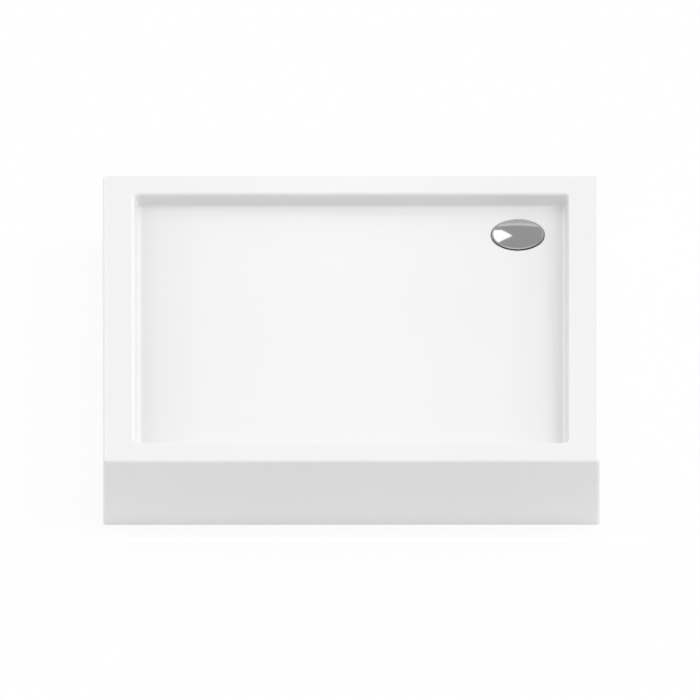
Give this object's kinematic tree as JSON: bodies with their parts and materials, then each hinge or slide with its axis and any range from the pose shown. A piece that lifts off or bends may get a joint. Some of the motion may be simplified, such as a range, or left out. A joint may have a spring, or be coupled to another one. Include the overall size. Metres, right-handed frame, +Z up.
{
  "type": "shower tray",
  "caption": "Square white shower tray with a front skirt, a flat rim, a shallow basin, a corner waste with a chromed cover and trap, and screw feet.",
  "frame": {"origin": "middle of the tray's outline, on the floor that it stands on", "axes": "+X to the right along the front skirt, +Y from the skirt to the back, +Z up"},
  "size_m": [1, 1, 0.155],
  "materials": {
    "white_acrylic": "smooth, glossy, with a faint ripple",
    "glass_fibre": "rough, with strands that show through the resin",
    "chipboard": "raw pressed chips",
    "zinc_steel": "bright zinc plating with dull patches",
    "stainless_steel": "brushed",
    "pad_plastic": "fine moulded grain",
    "seal_rubber": "dull",
    "trap_plastic": "satin, moulded",
    "insert_plastic": "satin, moulded",
    "nut_plastic": "satin, moulded",
    "chrome": "polished chrome plating"
  },
  "bodies": {
    "tray": {"tray_shell": "white_acrylic", "underside_laminate": "glass_fibre", "base_board": "chipboard", "foot_lock_nuts": "zinc_steel", "foot_plate_screws": "zinc_steel", "waste_upper_seal": "seal_rubber", "waste_flange": "stainless_steel", "waste_lower_seal": "seal_rubber", "trap_body": "trap_plastic", "waste_flange_screws": "stainless_steel", "outlet_union_nut": "nut_plastic", "outlet_seal": "seal_rubber", "foot_plate_front_left": "zinc_steel", "foot_plate_front_right": "zinc_steel", "foot_plate_back_left": "zinc_steel", "foot_plate_back_right": "zinc_steel", "foot_plate_centre": "zinc_steel"},
    "insert": {"trap_insert": "insert_plastic", "insert_strainer": "insert_plastic", "insert_seal": "seal_rubber"},
    "cover": {"drain_cover": "chrome"},
    "elbow": {"outlet_elbow": "trap_plastic"},
    "pad_front_left": {"foot_pad_front_left": "pad_plastic"},
    "stud_front_left": {"foot_stud_front_left": "zinc_steel"},
    "pad_front_right": {"foot_pad_front_right": "pad_plastic"},
    "stud_front_right": {"foot_stud_front_right": "zinc_steel"},
    "pad_back_left": {"foot_pad_back_left": "pad_plastic"},
    "stud_back_left": {"foot_stud_back_left": "zinc_steel"},
    "pad_back_right": {"foot_pad_back_right": "pad_plastic"},
    "stud_back_right": {"foot_stud_back_right": "zinc_steel"},
    "pad_centre": {"foot_pad_centre": "pad_plastic"},
    "stud_centre": {"foot_stud_centre": "zinc_steel"}
  },
  "joints": [
    {"name": "insert_lift", "type": "slide", "parent": "tray", "child": "insert", "axis": [0, 0, 1], "range_m": [0, 0.12]},
    {"name": "cover_lift", "type": "slide", "parent": "insert", "child": "cover", "axis": [0, 0, 1], "range_m": [0, 0.06]},
    {"name": "elbow_turn", "type": "hinge", "parent": "tray", "child": "elbow", "pos_m": [0.248, 0.335, 0.068], "axis": [-1, 0, 0], "range_deg": [0, 30]},
    {"name": "foot_height_front_left", "type": "slide", "parent": "tray", "child": "pad_front_left", "axis": [0, 0, -1], "range_m": [0, 0.015]},
    {"name": "stud_turn_front_left", "type": "hinge", "parent": "pad_front_left", "child": "stud_front_left", "pos_m": [-0.345, -0.345, 0.022], "axis": [0, 0, -1], "range_deg": [0, 3086]},
    {"name": "foot_height_front_right", "type": "slide", "parent": "tray", "child": "pad_front_right", "axis": [0, 0, -1], "range_m": [0, 0.015]},
    {"name": "stud_turn_front_right", "type": "hinge", "parent": "pad_front_right", "child": "stud_front_right", "pos_m": [0.345, -0.345, 0.022], "axis": [0, 0, -1], "range_deg": [0, 3086]},
    {"name": "foot_height_back_left", "type": "slide", "parent": "tray", "child": "pad_back_left", "axis": [0, 0, -1], "range_m": [0, 0.015]},
    {"name": "stud_turn_back_left", "type": "hinge", "parent": "pad_back_left", "child": "stud_back_left", "pos_m": [-0.345, 0.345, 0.022], "axis": [0, 0, -1], "range_deg": [0, 3086]},
    {"name": "foot_height_back_right", "type": "slide", "parent": "tray", "child": "pad_back_right", "axis": [0, 0, -1], "range_m": [0, 0.015]},
    {"name": "stud_turn_back_right", "type": "hinge", "parent": "pad_back_right", "child": "stud_back_right", "pos_m": [0.345, 0.226, 0.022], "axis": [0, 0, -1], "range_deg": [0, 3086]},
    {"name": "foot_height_centre", "type": "slide", "parent": "tray", "child": "pad_centre", "axis": [0, 0, -1], "range_m": [0, 0.015]},
    {"name": "stud_turn_centre", "type": "hinge", "parent": "pad_centre", "child": "stud_centre", "pos_m": [0, 0, 0.022], "axis": [0, 0, -1], "range_deg": [0, 3086]}
  ],
  "couplings": [
    {"joint": "stud_turn_front_left", "follows": "foot_height_front_left", "rad_per_m": 3590.4},
    {"joint": "stud_turn_front_right", "follows": "foot_height_front_right", "rad_per_m": 3590.4},
    {"joint": "stud_turn_back_left", "follows": "foot_height_back_left", "rad_per_m": 3590.4},
    {"joint": "stud_turn_back_right", "follows": "foot_height_back_right", "rad_per_m": 3590.4},
    {"joint": "stud_turn_centre", "follows": "foot_height_centre", "rad_per_m": 3590.4}
  ]
}
